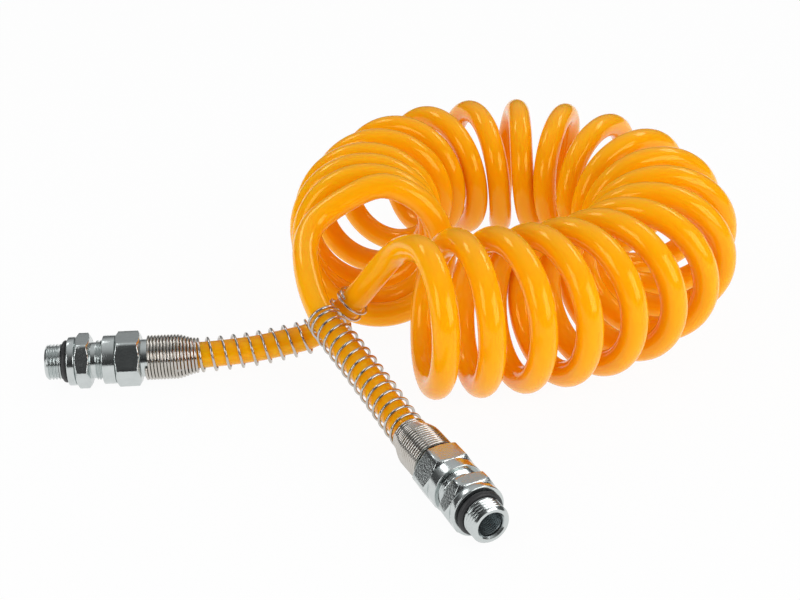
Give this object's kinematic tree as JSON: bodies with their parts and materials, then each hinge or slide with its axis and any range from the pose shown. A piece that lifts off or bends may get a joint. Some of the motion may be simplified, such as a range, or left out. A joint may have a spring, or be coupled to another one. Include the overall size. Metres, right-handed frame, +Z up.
{
  "type": "coiled air hose",
  "caption": "Coiled plastic air hose lying curled on a surface, with a threaded stud, seal ring, union nut and guard spring at each end, for joining two air ports.",
  "frame": {"origin": "middle of the bottom of the whole object's box, on the surface that it lies on", "axes": "+Z up; +Y away from the camera of the picture; +X to the picture's right"},
  "size_m": [0.3255, 0.3368, 0.0769],
  "materials": {
    "hose": "glossy, slightly see-through polyurethane",
    "zinc_steel": "bright zinc plate with fine turning marks",
    "spring_steel": "drawn bright wire",
    "seal_rubber": "matte black",
    "brass": "turned brass"
  },
  "bodies": {
    "hose": {"hose_coil": "hose", "left_hose_tail": "hose", "left_guard_spring": "spring_steel", "left_cutting_ring": "brass", "left_support_sleeve": "brass", "front_hose_tail": "hose", "front_guard_spring": "spring_steel", "front_cutting_ring": "brass", "front_support_sleeve": "brass"},
    "left_nut": {"left_union_nut": "zinc_steel"},
    "left_stud": {"left_stud_body": "zinc_steel", "left_thrust_ring": "zinc_steel", "left_seal_ring": "seal_rubber"},
    "front_nut": {"front_union_nut": "zinc_steel"},
    "front_stud": {"front_stud_body": "zinc_steel", "front_thrust_ring": "zinc_steel", "front_seal_ring": "seal_rubber"}
  },
  "joints": [
    {"name": "left_nut_turn", "type": "hinge", "parent": "hose", "child": "left_nut", "pos_m": [-0.12566, -0.04026, 0.011], "axis": [0.9956, 0.0941, 0], "range_deg": [0, 2016]},
    {"name": "left_stud_slide", "type": "slide", "parent": "hose", "child": "left_stud", "axis": [-0.9956, -0.0941, 0], "range_m": [0, 0.0084]},
    {"name": "front_nut_turn", "type": "hinge", "parent": "hose", "child": "front_nut", "pos_m": [0.01471, -0.13238, 0.011], "axis": [-0.4368, 0.8996, 0], "range_deg": [0, 2016]},
    {"name": "front_stud_slide", "type": "slide", "parent": "hose", "child": "front_stud", "axis": [0.4368, -0.8996, 0], "range_m": [0, 0.0084]}
  ],
  "couplings": [
    {"joint": "left_stud_slide", "follows": "left_nut_turn", "m_per_rad": 0.00023873},
    {"joint": "front_stud_slide", "follows": "front_nut_turn", "m_per_rad": 0.00023873}
  ]
}
